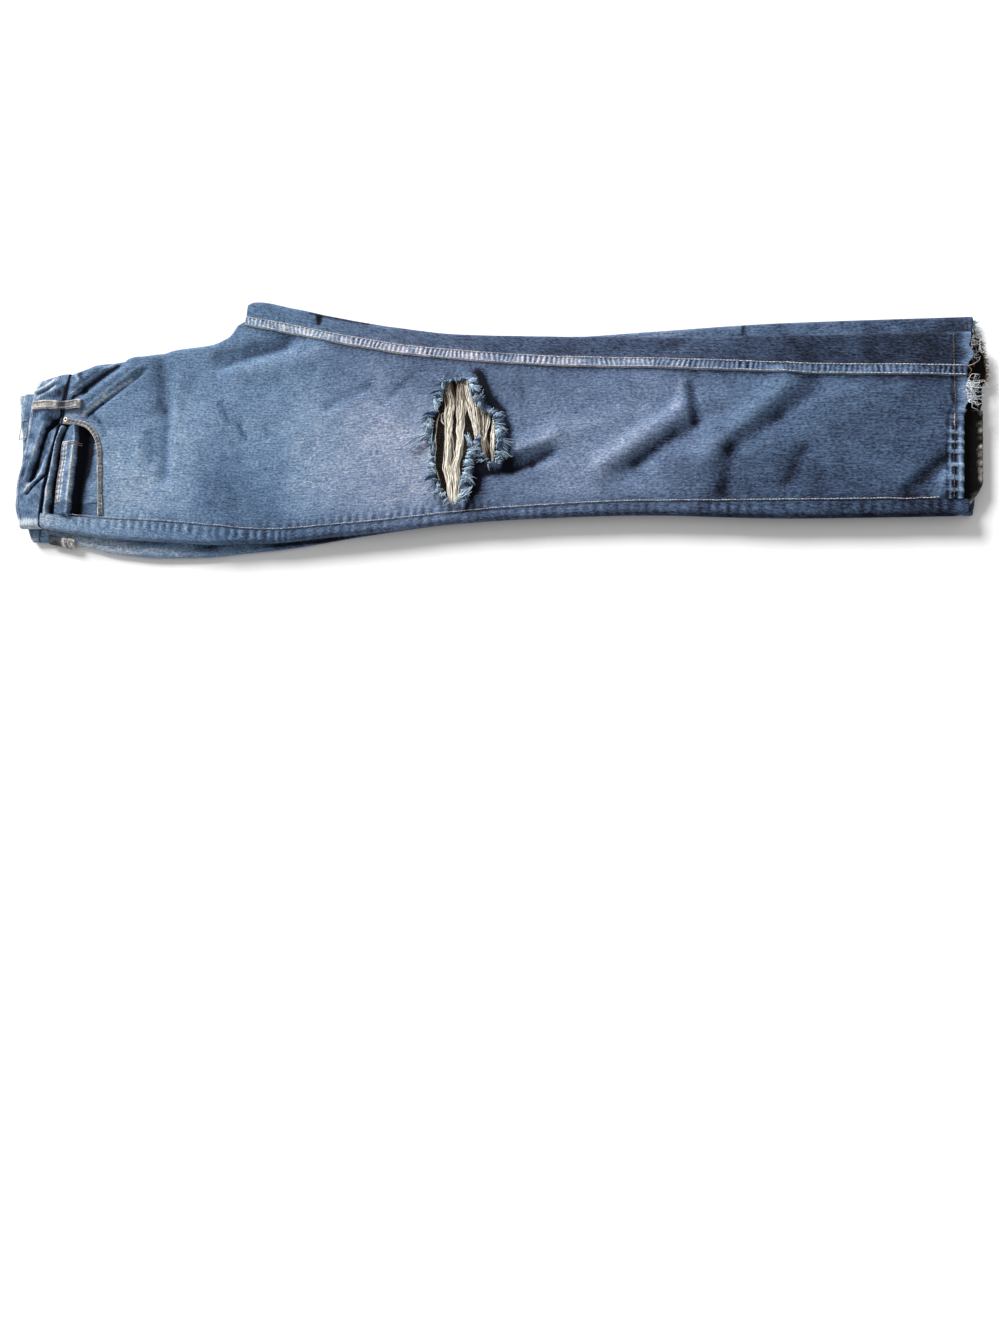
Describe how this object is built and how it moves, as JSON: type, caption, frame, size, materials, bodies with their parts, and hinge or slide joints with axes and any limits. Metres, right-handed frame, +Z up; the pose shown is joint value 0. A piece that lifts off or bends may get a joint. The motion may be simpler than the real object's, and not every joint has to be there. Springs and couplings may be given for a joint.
{
  "type": "folded ripped jeans",
  "caption": "Ripped wide-leg denim jeans folded in half lengthwise and laid flat, with a torn knee, felled inseam, scoop pocket and frayed hem.",
  "frame": {"origin": "middle of the footprint, on the surface that the jeans lie on", "axes": "+X along the legs from the waist to the hem, +Y across them from the outseam to the inseam, +Z up off the surface"},
  "size_m": [1.1384, 0.3116, 0.0282],
  "materials": {
    "denim": "faded mid-blue cotton twill",
    "denim_shaded": "less faded blue cotton twill",
    "denim_worn": "denim worn pale on its raised edges",
    "bare_weft": "loose undyed cotton yarn",
    "frayed_denim": "frayed pale blue and white yarn",
    "rivet_metal": "dull copper-coloured metal"
  },
  "bodies": {
    "root": {"right_front": "denim", "right_front_rise_edge": "denim", "right_back": "denim", "right_back_top_edge": "denim", "right_back_low_edge_thigh": "denim", "right_back_low_edge_knee": "denim", "right_back_low_edge_shin": "denim", "right_inseam_fell": "denim_worn", "waistband_right": "denim_shaded", "left_layers": "denim_shaded", "waistband_left": "denim_shaded", "pocket_facing": "denim_shaded", "coin_pocket": "denim", "belt_loop_front": "denim_worn", "belt_loop_left": "denim_worn", "rivet_front": "rivet_metal", "rip_weft_main": "bare_weft", "rip_weft_side": "bare_weft", "right_front_hem_fray": "frayed_denim", "right_top_hem_fray": "frayed_denim", "right_back_hem_fray": "frayed_denim", "left_hem_fray": "frayed_denim", "rip_fray_waist_side": "frayed_denim", "rip_fray_knee_side": "frayed_denim", "rip_fray_shin_side": "frayed_denim"}
  },
  "joints": []
}
